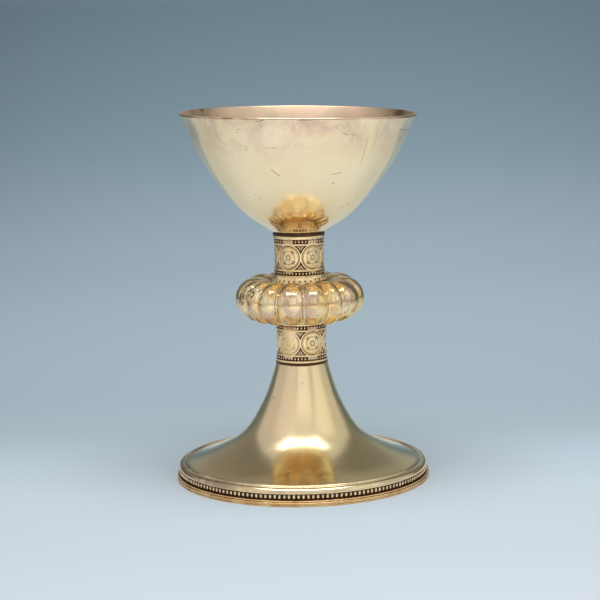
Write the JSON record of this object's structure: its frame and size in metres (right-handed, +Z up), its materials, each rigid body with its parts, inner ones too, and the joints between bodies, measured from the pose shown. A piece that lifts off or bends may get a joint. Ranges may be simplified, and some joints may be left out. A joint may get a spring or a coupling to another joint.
{
  "type": "communion chalice",
  "caption": "Footed communion chalice in gilded silver: wide raised bowl, lobed knop between engraved stem sleeves, spreading round foot with a pearled rim.",
  "frame": {"origin": "centre of the circle that the foot stands on", "axes": "+Z up along the stem's axis, towards the rim; -Y is the front"},
  "size_m": [0.1114, 0.1114, 0.16],
  "materials": {
    "bowl_gilding": "worn satin gilding over silver, scratched",
    "engraved_gilding": "engraved gilding with dark tarnish in the cuts",
    "foot_gilding": "polished gilding, olive in shade, fine pits",
    "inner_metal": "plain unpolished silver alloy",
    "knop_gilding": "bright burnished gilding with rose and brown patches",
    "pearl_gilding": "beaded gilding with near-black recesses",
    "rim_gilding": "warm orange gilding",
    "stem_gilding": "pale gilding worn on the edges",
    "tarnished_silver": "dark brown tarnish"
  },
  "bodies": {
    "root": {"bowl": "bowl_gilding", "bowl_boss": "tarnished_silver", "core_tube": "inner_metal", "foot_base_flange": "rim_gilding", "foot_lower_wire": "rim_gilding", "foot_pearl_wire": "pearl_gilding", "foot_rim_band": "pearl_gilding", "foot_shell": "foot_gilding", "foot_upper_wire": "rim_gilding", "knop_lower_collar": "stem_gilding", "knop_lower_shell": "knop_gilding", "knop_upper_collar": "stem_gilding", "knop_upper_shell": "knop_gilding", "lower_stem_bottom_flange": "stem_gilding", "lower_stem_bottom_pearl_wire": "pearl_gilding", "lower_stem_bottom_wire": "stem_gilding", "lower_stem_sleeve": "engraved_gilding", "lower_stem_top_flange": "stem_gilding", "lower_stem_top_pearl_wire": "pearl_gilding", "lower_stem_top_wire": "stem_gilding", "rivet_washer": "tarnished_silver", "stem_base_collar": "tarnished_silver", "tie_rod": "inner_metal", "upper_stem_bottom_flange": "stem_gilding", "upper_stem_bottom_pearl_wire": "pearl_gilding", "upper_stem_bottom_wire": "stem_gilding", "upper_stem_sleeve": "engraved_gilding", "upper_stem_top_flange": "stem_gilding", "upper_stem_top_pearl_wire": "pearl_gilding", "upper_stem_top_wire": "stem_gilding"}
  },
  "joints": []
}
